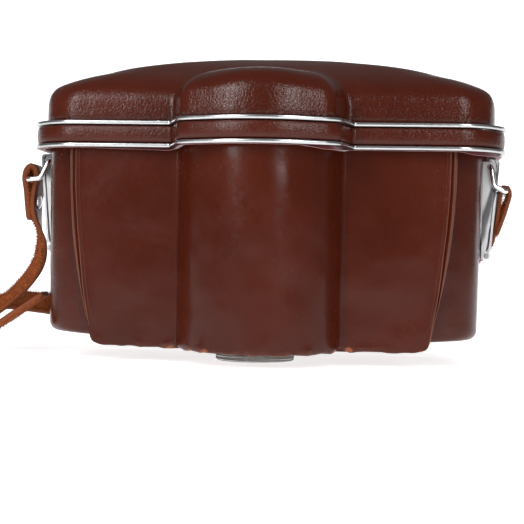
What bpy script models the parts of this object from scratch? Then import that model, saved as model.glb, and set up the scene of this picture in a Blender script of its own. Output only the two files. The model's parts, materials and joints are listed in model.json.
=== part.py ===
"""A moulded leather ever-ready case for a swing-lens panoramic camera.

The case stands on the knob of its captive case screw. The lid turns on a hinge at the back, and a spring catch
lever at each end holds it shut. A wire ring at each end carries a neck strap, which is folded beside and behind
the case. Dimensions are in millimetres; MM turns them into metres. In a helper's arguments y is 0 on the front
panel's face, and the case_frame empty then centres the case on the origin.
"""

import math

import bmesh
import bpy
from mathutils import Matrix, Vector

MM = 0.001
GAP = 0.3  # between pieces that touch

# Heights of the layers, from the surface that the knob stands on
KNOB_TOP = 4.3
SOLE_Z = 5.1
TRAY_Z = 9.7
FLOOR_Z = 12.7
LINING_FLOOR_Z = 14.0
BODY_TOP = 80.0
SKIRT_Z = 74.3
TRIM_TALL = 1.5
BELT_TALL = 5.8
DOME_Z = 84.0
DOME_TOP = 110.3

# Plan sizes
FRAME_Y = -22.6  # the front panel's face in the part's own frame
TRAY_HALF, TRAY_FRONT, TRAY_BACK, TRAY_ROUND = 77.5, 5.0, 62.0, 15.0
TRAY_TAPER = 0.0155  # share of the width lost from the rim to the base
LEATHER = 3.0
LINING = 1.0
DRUM_Y, DRUM_R = 8.7, 29.7  # the front bulge's centre line and radius
WINDOW_HALF = 27.0
PANEL_THICK = 4.7
PANEL_TOP_HALF, PANEL_BASE_HALF = 65.5, 59.5
SKIRT_HALF, SKIRT_FRONT, SKIRT_BACK, SKIRT_ROUND = 83.0, -4.2, 66.2, 17.0
DOME_INSET = 3.4  # from the belt's face to the dome's foot
SCREW_X, SCREW_Y, KNOB_R, SHANK_R = -2.7, 20.0, 14.15, 3.1
SCREW_DROP = 1.5

# Hinge at the back
HINGE_Y, HINGE_Z, HINGE_R, PIN_R = 69.4, 73.0, 1.9, 0.8
HINGE_HALF, KNUCKLE = 30.0, 12.0

# Brackets at the ends, for the end at +x
BRACKET_Y, BRACKET_WIDE, SHEET = 30.0, 14.0, 0.8
BRACKET_X = 77.8
LEVER_PIVOT = (79.5, 39.3)
RING_HOLE = (80.6, 71.2)
RING_WIRE, RING_REACH, RING_HALF = 1.0, 10.6, 8.3
RING_HANG = {1: 32.0, -1: 42.0}  # degrees that each ring's crossbar stands out from straight down
LOOP_LEAN = {1: 8.0, -1: -3.0}  # degrees that the strap hangs inwards from each crossbar
LOOP_LONG = 10.5

# Strap
STRAP_WIDE, STRAP_THICK = 10.0, 1.8
HANK_Z = 1.3
SIDE_HANK_X, SIDE_HANK_TOP = (-236.0, -126.0), 11.6
BACK_HANK_X, BACK_HANK_Y, BACK_HANK_TOP = (-28.0, 54.0), 79.0, 7.6

for old in list(bpy.data.objects):
    bpy.data.objects.remove(old)
parts = bpy.data.collections.new("leather_camera_case")
cutters = bpy.data.collections.new("cutters")
for made in (parts, cutters):
    bpy.context.scene.collection.children.link(made)
cutters.hide_render = True


def finish_of(name, colour, rough, metal=0.0):
    finish = bpy.data.materials.new(name)
    finish.use_nodes = True
    shader = finish.node_tree.nodes["Principled BSDF"]
    shader.inputs["Base Color"].default_value = (*colour, 1.0)
    shader.inputs["Roughness"].default_value = rough
    shader.inputs["Metallic"].default_value = metal
    return finish


LEATHER_BROWN = finish_of("brown_leather", (0.075, 0.022, 0.016), 0.35)
STRAP_TAN = finish_of("strap_leather", (0.13, 0.045, 0.02), 0.55)
CHROME = finish_of("chrome", (0.75, 0.75, 0.76), 0.15, 1.0)
STEEL = finish_of("spring_steel", (0.45, 0.45, 0.46), 0.3, 1.0)
BRASS = finish_of("brass", (0.6, 0.45, 0.2), 0.3, 1.0)
VELVET = finish_of("red_velvet", (0.25, 0.01, 0.015), 0.9)


def empty_at(name, place, parent=None):
    empty = bpy.data.objects.new(name, None)
    empty.location = Vector(place) * MM
    parts.objects.link(empty)
    if parent:
        empty.parent = parent
    return empty


case_frame = empty_at("case_frame", (0, FRAME_Y, 0))
lid_axis = empty_at("lid_axis", (0, HINGE_Y, HINGE_Z), case_frame)
screw_axis = empty_at("screw_axis", (SCREW_X, SCREW_Y, 0), case_frame)
ring_axis = {
    s: empty_at(f"ring_axis_{n}", (s * RING_HOLE[0], BRACKET_Y, RING_HOLE[1]), case_frame)
    for s, n in ((1, "right"), (-1, "left"))
}
lever_axis = {
    s: empty_at(f"lever_axis_{n}", (s * LEVER_PIVOT[0], BRACKET_Y, LEVER_PIVOT[1]), case_frame)
    for s, n in ((1, "right"), (-1, "left"))
}


def keep(name, mesh, finish=None, on=case_frame):
    """A part made of this mesh, hung on an empty; with no finish it is a cutter."""
    thing = bpy.data.objects.new(name, mesh)
    (parts if finish else cutters).objects.link(thing)
    thing.parent = on
    if on is not case_frame:
        thing.location = -on.location
    if finish:
        mesh.materials.append(finish)
        mesh.shade_smooth()
        mesh.set_sharp_from_angle(angle=math.radians(35))
    else:
        thing.hide_render = True
        thing.display_type = "WIRE"
    return thing


def boolean(thing, other, operation="DIFFERENCE"):
    change = thing.modifiers.new(other.name, "BOOLEAN")
    change.operation = operation
    change.object = other
    change.solver = "EXACT"


def mesh_from(shape, name):
    """The mesh of a finished bmesh, in triangles that face outwards."""
    bmesh.ops.triangulate(shape, faces=shape.faces)
    bmesh.ops.recalc_face_normals(shape, faces=shape.faces)
    if shape.calc_volume(signed=True) < 0:
        bmesh.ops.reverse_faces(shape, faces=shape.faces)
    mesh = bpy.data.meshes.new(name)
    shape.to_mesh(mesh)
    shape.free()
    return mesh


def closed_mesh(curve_data, name, order=None):
    """The mesh of a curve with its caps welded; order gives the axes that the curve's x, y and z turn into."""
    helper = bpy.data.objects.new(name, curve_data)
    bpy.context.scene.collection.objects.link(helper)
    graph = bpy.context.evaluated_depsgraph_get()
    mesh = bpy.data.meshes.new_from_object(helper.evaluated_get(graph))
    bpy.data.objects.remove(helper)
    shape = bmesh.new()
    shape.from_mesh(mesh)
    bmesh.ops.remove_doubles(shape, verts=shape.verts, dist=1e-6)
    if order:
        for v in shape.verts:
            v.co = Vector([v.co["xyz".index(axis)] for axis in order])
    return mesh_from(shape, name)


def rounded(corners, step=14.0):
    """The points of an outline whose corners (x, y, radius) are turned into arcs."""
    points = []
    for i, (x, y, radius) in enumerate(corners):
        here = Vector((x, y))
        back = (Vector(corners[i - 1][:2]) - here).normalized()
        ahead = (Vector(corners[(i + 1) % len(corners)][:2]) - here).normalized()
        turn = math.pi - back.angle(ahead)
        if radius <= 0 or turn < 1e-3:
            if not points or (points[-1] - here).length > 0.05:
                points.append(here)
            continue
        reach = radius * math.tan(turn / 2)
        centre = here + (back + ahead).normalized() * math.hypot(radius, reach)
        first = here + back * reach - centre
        side = math.copysign(1, first.cross(here + ahead * reach - centre))
        count = max(1, round(math.degrees(turn) / step))
        for k in range(count + 1):
            angle = side * turn * k / count
            spun = Vector((
                first.x * math.cos(angle) - first.y * math.sin(angle),
                first.x * math.sin(angle) + first.y * math.cos(angle),
            ))
            if not points or (points[-1] - centre - spun).length > 0.05:
                points.append(centre + spun)
    return points


def grown(corners, by):
    """The same corners, counter-clockwise, moved outwards; arcs keep their centres."""
    moved = []
    for i, (x, y, radius) in enumerate(corners):
        here = Vector((x, y))
        come = (here - Vector(corners[i - 1][:2])).normalized()
        go = (Vector(corners[(i + 1) % len(corners)][:2]) - here).normalized()
        out = Vector((come.y + go.y, -come.x - go.x)).normalized()
        share = out.dot(Vector((come.y, -come.x)))
        place = here + out * by / share
        convex = come.cross(go) > 0
        moved.append((*place, max(min(radius, 0.3), radius + by if convex else radius - by)))
    return moved


def prism(name, outlines, low, high, order="xyz"):
    """Flat outlines, the first one the outside and the rest holes, filled from low to high."""
    flat = bpy.data.curves.new(name, "CURVE")
    flat.dimensions = "2D"
    flat.fill_mode = "BOTH"
    flat.extrude = (high - low) / 2 * MM
    for outline in outlines:
        spline = flat.splines.new("POLY")
        spline.points.add(len(outline) - 1)
        for point, (x, y) in zip(spline.points, outline):
            point.co = (x * MM, y * MM, 0, 1)
        spline.use_cyclic_u = True
    mesh = closed_mesh(flat, name, order)
    axis = order.index("z")
    for v in mesh.vertices:
        v.co[axis] += (high + low) / 2 * MM
    return mesh


def band(name, corners, outside, inside, low, high):
    return prism(name, [rounded(grown(corners, outside)), rounded(grown(corners, inside))], low, high)


def turned(name, profile, place, steps=20, along="z"):
    """A closed profile of (radius, height) turned about an axis through place."""
    shape = bmesh.new()
    ring = [shape.verts.new((r * MM, 0, h * MM)) for r, h in profile]
    edges = [shape.edges.new((ring[k - 1], ring[k])) for k in range(len(ring))]
    bmesh.ops.spin(
        shape, geom=ring + edges, axis=(0, 0, 1), cent=(0, 0, 0), steps=steps, angle=math.tau, use_merge=True
    )
    bmesh.ops.remove_doubles(shape, verts=shape.verts, dist=1e-6)
    bmesh.ops.dissolve_degenerate(shape, edges=shape.edges, dist=1e-7)
    for v in shape.verts:
        if along == "x":
            v.co = Vector((v.co.z, v.co.x, v.co.y))
        elif along == "y":
            v.co = Vector((v.co.y, v.co.z, v.co.x))
        v.co += Vector(place) * MM
    return mesh_from(shape, name)


def rod(name, radius, low, high, place, along="z", sides=16):
    """A solid cylinder from low to high along an axis through place."""
    shape = bmesh.new()
    bmesh.ops.create_cone(
        shape, cap_ends=True, segments=sides, radius1=radius * MM, radius2=radius * MM, depth=(high - low) * MM
    )
    for v in shape.verts:
        v.co.z += (high + low) / 2 * MM
        if along == "x":
            v.co = Vector((v.co.z, v.co.x, v.co.y))
        elif along == "y":
            v.co = Vector((v.co.y, v.co.z, v.co.x))
        v.co += Vector(place) * MM
    return mesh_from(shape, name)


def block(name, low, high):
    shape = bmesh.new()
    bmesh.ops.create_cube(shape, size=1.0)
    for v in shape.verts:
        v.co = Vector(((v.co[k] + 0.5) * (high[k] - low[k]) + low[k]) * MM for k in range(3))
    return mesh_from(shape, name)


def smooth_path(points, spacing):
    """Points at about this spacing on a Catmull-Rom curve through the given points."""
    knots = [Vector(p) for p in points]
    knots = [2 * knots[0] - knots[1], *knots, 2 * knots[-1] - knots[-2]]
    fine = []
    for a, b, c, d in zip(knots, knots[1:], knots[2:], knots[3:]):
        count = max(1, round((c - b).length / spacing))
        for k in range(count):
            t = k / count
            fine.append(0.5 * (2 * b + (c - a) * t + (2 * a - 5 * b + 4 * c - d) * t**2
                               + (3 * b - a - 3 * c + d) * t**3))
    return [*fine, knots[-2]]


def wire(name, points, radius, round_by):
    """A round wire along straight runs with rounded bends."""
    path = [Vector(points[0])]
    for back, here, ahead in zip(points, points[1:], points[2:]):
        here = Vector(here)
        start = here + (Vector(back) - here).normalized() * round_by
        end = here + (Vector(ahead) - here).normalized() * round_by
        path += [(1 - t) ** 2 * start + 2 * t * (1 - t) * here + t**2 * end for t in (0, 0.25, 0.5, 0.75, 1)]
    path.append(Vector(points[-1]))
    curve = bpy.data.curves.new(name, "CURVE")
    curve.dimensions = "3D"
    curve.bevel_depth = radius * MM
    curve.bevel_resolution = 1
    curve.use_fill_caps = True
    spline = curve.splines.new("POLY")
    spline.points.add(len(path) - 1)
    for point, place in zip(spline.points, path):
        point.co = (*(place * MM), 1)
    return closed_mesh(curve, name)


def ribbon(name, route, spacing=5.0):
    """A flat strap along a route of (x, y, z, lean): lean is how far the width stands up from level, in degrees."""
    path = smooth_path([p[:3] for p in route], spacing)
    leans = smooth_path([(p[3], i, 0) for i, p in enumerate(route)], spacing)
    knots = [Vector(p[:3]) for p in route]
    shape = bmesh.new()
    rings = []
    for i, place in enumerate(path):
        ahead = (path[min(i + 1, len(path) - 1)] - path[max(i - 1, 0)]).normalized()
        near = sorted(range(len(knots)), key=lambda k: (knots[k] - place).length)[:2]
        far = [(knots[k] - place).length + 1e-6 for k in near]
        lean = math.radians(sum(route[k][3] / d for k, d in zip(near, far)) / sum(1 / d for d in far))
        wide = Vector((0, math.cos(lean), math.sin(lean)))
        wide = (wide - ahead * wide.dot(ahead)).normalized()
        thick = ahead.cross(wide).normalized()
        corners = ((-1, -1), (1, -1), (1, 1), (-1, 1))
        rings.append([
            shape.verts.new((place + wide * STRAP_WIDE / 2 * a + thick * STRAP_THICK / 2 * b) * MM)
            for a, b in corners
        ])
    for first, second in zip(rings, rings[1:]):
        for k in range(4):
            shape.faces.new((first[k - 1], first[k], second[k], second[k - 1]))
    shape.faces.new(rings[0])
    shape.faces.new(rings[-1][::-1])
    return mesh_from(shape, name)


def lofted(name, rings):
    """A closed solid through rings of the same number of points, with flat ends."""
    shape = bmesh.new()
    loops = [[shape.verts.new(Vector(p) * MM) for p in ring] for ring in rings]
    for low, high in zip(loops, loops[1:]):
        for k in range(len(low)):
            shape.faces.new((low[k - 1], low[k], high[k], high[k - 1]))
    shape.faces.new(loops[0][::-1])
    shape.faces.new(loops[-1])
    return mesh_from(shape, name)


def cushion(name, corners, low, high, edge, order="xyz"):
    """A prism whose outline is rounded off by edge at its low end."""
    rings = []
    for k in range(4):
        angle = math.pi / 2 * k / 3
        ring = rounded(grown(corners, -edge * (1 - math.sin(angle))))
        rings.append([(*p, low + edge * (1 - math.cos(angle))) for p in ring])
    rings.append([(*p, high) for p in rounded(corners)])
    return lofted(name, [[[p["xyz".index(axis)] for axis in order] for p in ring] for ring in rings])


def rectangle(half, front, back, radius):
    return [(-half, front, radius), (half, front, radius), (half, back, radius), (-half, back, radius)]


def bulge(from_y, radius):
    """Corners, left to right, of a round front bulge that leaves a wall at from_y."""
    half = math.sqrt(radius**2 - (DRUM_Y - from_y) ** 2)
    lean = math.atan2(DRUM_Y - from_y, half)
    shoulder = radius * math.tan((math.pi / 2 - lean) / 2)
    apex = DRUM_Y - radius
    return [(-half, from_y, 0), (-shoulder, apex, radius), (shoulder, apex, radius), (half, from_y, 0)]


def narrowed(mesh):
    """The tray's taper: the sides close in a little towards the base."""
    for v in mesh.vertices:
        v.co.x *= 1 - TRAY_TAPER * (BODY_TOP - v.co.z / MM) / (BODY_TOP - TRAY_Z)
    return mesh


TRAY = rectangle(TRAY_HALF, TRAY_FRONT, TRAY_BACK, TRAY_ROUND)
SKIRT = [
    (-SKIRT_HALF, SKIRT_FRONT, SKIRT_ROUND), (-31.6, SKIRT_FRONT, 1.5), (-27.6, -18.6, 9.0), (0, -28.4, 45.0),
    (27.6, -18.6, 9.0), (31.6, SKIRT_FRONT, 1.5), (SKIRT_HALF, SKIRT_FRONT, SKIRT_ROUND),
    (SKIRT_HALF, SKIRT_BACK, SKIRT_ROUND), (-SKIRT_HALF, SKIRT_BACK, SKIRT_ROUND),
]
SHAFT_HOLE = (SCREW_X, SCREW_Y, 0)


def body():
    shell = keep("body_shell", narrowed(cushion("body_shell", TRAY, TRAY_Z, BODY_TOP, 5.0)), LEATHER_BROWN)
    hollow = narrowed(prism("tray_hollow", [rounded(grown(TRAY, -LEATHER))], FLOOR_Z, BODY_TOP + 5))
    boolean(shell, keep("tray_hollow", hollow))
    window = block("tray_window", (-WINDOW_HALF, TRAY_FRONT - 2, FLOOR_Z), (WINDOW_HALF, 12, BODY_TOP + 5))
    boolean(shell, keep("tray_window", window))
    shaft = keep("shaft_hole", rod("shaft_hole", 5.3, 2, 30, SHAFT_HOLE, sides=20))
    boolean(shell, shaft)

    corners = [(-PANEL_BASE_HALF, SOLE_Z, 7.0), (PANEL_BASE_HALF, SOLE_Z, 7.0),
               (PANEL_TOP_HALF, BODY_TOP, 2.0), (-PANEL_TOP_HALF, BODY_TOP, 2.0)]
    cover = keep("front_cover", cushion("front_cover", corners, 0, PANEL_THICK, 1.2, "xzy"), LEATHER_BROWN)
    outside = bulge(0.4, DRUM_R)
    outside += [(outside[3][0], PANEL_THICK - 0.5, 0), (outside[0][0], PANEL_THICK - 0.5, 0)]
    drum = keep("cover_drum", prism("cover_drum", [rounded(outside, 9)], SOLE_Z, BODY_TOP))
    boolean(cover, drum, "UNION")
    cavity = [*bulge(6.0, DRUM_R - LEATHER), (20, 9, 0), (-20, 9, 0)]
    boolean(cover, keep("drum_hollow", prism("drum_hollow", [rounded(cavity, 9)], FLOOR_Z, BODY_TOP + 5)))

    wall = LEATHER + GAP
    lined = narrowed(prism("body_lining", [rounded(grown(TRAY, -wall))], FLOOR_Z + GAP, BODY_TOP - 1))
    lining = keep("body_lining", lined, VELVET)
    for name, wall, low, operation in (
        ("lining_drum", LEATHER + GAP, FLOOR_Z + GAP, "UNION"),
        ("lining_drum_hollow", LEATHER + GAP + LINING, LINING_FLOOR_Z, "DIFFERENCE"),
    ):
        curve = bulge(9.0, DRUM_R - wall - GAP)
        curve += [(curve[3][0] - 0.5, 20, 0), (curve[0][0] + 0.5, 20, 0)]
        high = BODY_TOP - 1 + (5 if operation == "DIFFERENCE" else 0)
        boolean(lining, keep(name, prism(name, [rounded(curve, 9)], low, high)), operation)
    inner = rounded(grown(TRAY, -LEATHER - GAP - LINING))
    boolean(lining, keep("lining_hollow", narrowed(prism("lining_hollow", [inner], LINING_FLOOR_Z, BODY_TOP + 5))))
    boolean(lining, shaft)

    corners = [(-53, 5.0, 2.0), (53, 5.0, 2.0), (55, 57, 9.0), (-55, 57, 9.0)]
    sole = keep("sole_pad", cushion("sole_pad", corners, SOLE_Z, TRAY_Z - GAP, 0.9), LEATHER_BROWN)
    boolean(sole, shaft)
    keep("screw_bush", turned("screw_bush", [
        (3.5, 4.6), (3.5, 13.9), (5.0, 13.9), (5.0, 4.95), (8.5, 4.95), (8.5, 4.6),
    ], SHAFT_HOLE), BRASS)


def case_screw():
    keep("screw_knob", turned("screw_knob", [
        (3.4, 0), (3.4, KNOB_TOP), (KNOB_R - 0.6, KNOB_TOP), (KNOB_R, KNOB_TOP - 0.6), (KNOB_R, 0.6), (KNOB_R - 0.6, 0),
    ], SHAFT_HOLE, 36), CHROME, screw_axis)
    clip_z = LINING_FLOOR_Z + SCREW_DROP + GAP
    keep("case_screw", turned("case_screw", [
        (0, 0.6), (0, 21.5), (2.4, 21.5), (SHANK_R, 20.8), (SHANK_R, clip_z + 1.2), (2.3, clip_z + 1.2),
        (2.3, clip_z - 0.3), (SHANK_R, clip_z - 0.3), (SHANK_R, 0.6),
    ], SHAFT_HOLE), BRASS, screw_axis)
    keep("screw_clip", turned("screw_clip", [
        (2.6, clip_z), (2.6, clip_z + 0.8), (5.2, clip_z + 0.8), (5.2, clip_z),
    ], SHAFT_HOLE), STEEL, screw_axis)


DOME_SECTIONS = (  # share of the height, then how far the sides and the front and back have come in
    (0.0, 0.0, 0.0), (0.31, 0.2, 0.2), (0.465, 1.9, 2.4), (0.59, 7.0, 6.2), (0.705, 15.0, 11.0),
    (0.845, 30.0, 18.0), (0.95, 53.0, 25.0), (1.0, 72.0, 29.5),
)
CAP_SECTIONS = (  # height above the trim, inset, and share of the top's slope and arch
    (0.0, 0.0, 0.0), (9.0, 0.3, 0.0), (12.8, 1.5, 0.6), (15.2, 4.0, 1.0), (16.2, 9.0, 1.0),
)
CAP_SLOPE, CAP_ARCH, CAP_BACK = 0.16, 3.5 / 25**2, 24.0


def dome(name, inset, foot):
    """The lid's low arched box, set in by a wall's thickness."""
    half, middle = SKIRT_HALF - DOME_INSET, (SKIRT_FRONT + SKIRT_BACK) / 2
    deep = (SKIRT_BACK - SKIRT_FRONT) / 2 - DOME_INSET
    rings = []
    for share, side, front in DOME_SECTIONS:
        x, y = max(2.0, half - inset - side), max(0.6, deep - inset - front)
        z = foot if share == 0 else DOME_Z + share * (DOME_TOP - DOME_Z) - inset * min(1, share * 2)
        radius = min(SKIRT_ROUND - DOME_INSET - inset + side * 0.35, y * 0.9, x * 0.9)
        ring = rounded([(-x, middle - y, radius), (x, middle - y, radius), (x, middle + y, radius),
                        (-x, middle + y, radius)])
        rings.append([(*p, z) for p in ring])
    return lofted(name, rings)


def cap(name, inset, foot):
    """The lid's bulge over the camera drum, whose top slopes up into the dome."""
    apex = SKIRT[3][1] + 3.0 + DOME_INSET
    rings = []
    for height, come_in, top in CAP_SECTIONS:
        back = CAP_BACK + DOME_INSET + inset + come_in
        plan = [(-31.6, back, 0), (-31.6, SKIRT_FRONT, 0), *SKIRT[2:5], (31.6, SKIRT_FRONT, 0), (31.6, back, 0)]
        ring = rounded(grown(plan, -DOME_INSET - inset - come_in), 20)
        base = foot if height == 0 else DOME_Z + height - inset * min(1, height / 12.8)
        rings.append([
            (p.x, p.y, base + top * (CAP_SLOPE * (p.y - apex) - CAP_ARCH * p.x**2)) for p in ring
        ])
    return lofted(name, rings)


def lid():
    top_of_skirt = SKIRT_Z + TRIM_TALL + GAP + BELT_TALL
    keep("lid_trim_lower", band("lid_trim_lower", SKIRT, 0.6, -1.8, SKIRT_Z, SKIRT_Z + TRIM_TALL), CHROME, lid_axis)
    keep("lid_belt", band("lid_belt", SKIRT, 0, -2.0, SKIRT_Z + TRIM_TALL + GAP, top_of_skirt), LEATHER_BROWN,
         lid_axis)
    keep("lid_trim_upper", band("lid_trim_upper", SKIRT, 0.6, -6.2, top_of_skirt + GAP,
                                top_of_skirt + GAP + TRIM_TALL), CHROME, lid_axis)
    keep("lid_skirt_lining", band("lid_skirt_lining", SKIRT, -2.3, -3.1, SKIRT_Z + 0.2, top_of_skirt), VELVET,
         lid_axis)
    shell = keep("lid_shell", dome("lid_shell", 0, DOME_Z), LEATHER_BROWN, lid_axis)
    boolean(shell, keep("lid_cap", cap("lid_cap", 0, DOME_Z), on=lid_axis), "UNION")
    boolean(shell, keep("lid_hollow", dome("lid_hollow", LEATHER, DOME_Z - 3), on=lid_axis))
    boolean(shell, keep("cap_hollow", cap("cap_hollow", LEATHER, DOME_Z - 3), on=lid_axis))
    wall = LEATHER + GAP
    lining_foot = top_of_skirt + GAP
    lining = keep("lid_lining", dome("lid_lining", wall, lining_foot), VELVET, lid_axis)
    boolean(lining, keep("lining_cap", cap("lining_cap", wall, lining_foot), on=lid_axis), "UNION")
    wall += LINING
    boolean(lining, keep("lid_lining_hollow", dome("lid_lining_hollow", wall, lining_foot - 3), on=lid_axis))
    boolean(lining, keep("cap_lining_hollow", cap("cap_lining_hollow", wall, lining_foot - 3), on=lid_axis))


def knuckle_arc(start, end):
    """Points round the hinge's knuckle between two angles in degrees, anticlockwise in (y, z)."""
    count = 8
    return [
        (HINGE_Y + HINGE_R * math.cos(math.radians(a)), HINGE_Z + HINGE_R * math.sin(math.radians(a)))
        for a in (start + (end - start) * k / count for k in range(count + 1))
    ]


def rivet(name, place, along, out, finish=CHROME, on=case_frame):
    """A low round head with a short shank; out is the way that the head faces along its axis."""
    profile = [(0, -0.95), (0.8, -0.95), (0.8, 0.3), (1.6, 0.3), (1.3, 0.8), (0.6, 1.05), (0, 1.1)]
    keep(name, turned(name, [(r, h * out) for r, h in profile], place, 10, along), finish, on)


def hinge():
    segment = [-HINGE_HALF + k * KNUCKLE for k in range(6)]
    body_leaf = [(TRAY_BACK + 0.3, 58), (TRAY_BACK + 1.1, 58), (TRAY_BACK + 1.1, 69.3), *knuckle_arc(-130, 170),
                 (TRAY_BACK + 0.3, 70.2)]
    lid_leaf = [(66.5, 81.4), (66.5, 77.4), *knuckle_arc(142, 450), (67.3, 78.3), (67.3, 81.4)]
    bore = keep("hinge_bore", rod("hinge_bore", 1.0, -40, 40, (0, HINGE_Y, HINGE_Z), "x", 12))
    low = keep("hinge_leaf_body", prism("hinge_leaf_body", [body_leaf], -HINGE_HALF, HINGE_HALF, "zxy"), CHROME)
    high = keep("hinge_leaf_lid", prism("hinge_leaf_lid", [lid_leaf], -HINGE_HALF, HINGE_HALF, "zxy"), CHROME,
                lid_axis)
    for leaf in (low, high):
        boolean(leaf, bore)
    for k in range(5):
        grow = GAP / 2
        start = segment[k] - (40 if k == 0 else grow)
        end = segment[k + 1] + (40 if k == 4 else grow)
        if k % 2:
            gap_low = block(f"body_leaf_gap_{k}", (start, TRAY_BACK + 1.4, 60), (end, 80, 90))
            boolean(low, keep(f"body_leaf_gap_{k}", gap_low))
        else:
            gap_high = block(f"lid_leaf_gap_{k}", (start, 60, 60), (end, 80, 78.6))
            boolean(high, keep(f"lid_leaf_gap_{k}", gap_high))
    keep("hinge_pin", rod("hinge_pin", PIN_R, -HINGE_HALF - 0.8, HINGE_HALF + 0.8, (0, HINGE_Y, HINGE_Z), "x", 12),
         STEEL)
    for k, x in enumerate((-22.0, 0.0, 22.0), 1):
        hole = keep(f"body_leaf_hole_{k}", rod(f"body_leaf_hole_{k}", 1.1, 61, 65, (x, 0, 63.0), "y", 10))
        boolean(low, hole)
        rivet(f"hinge_rivet_body_{k}", (x, TRAY_BACK + 1.1, 63.0), "y", 1)
    for k, x in enumerate((-24.0, 0.0, 24.0), 1):
        hole = keep(f"lid_leaf_hole_{k}", rod(f"lid_leaf_hole_{k}", 1.1, 66.35, 70, (x, 0, 79.9), "y", 10))
        boolean(high, hole)
        rivet(f"hinge_rivet_lid_{k}", (x, 67.45, 79.9), "y", 1, on=lid_axis)


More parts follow.
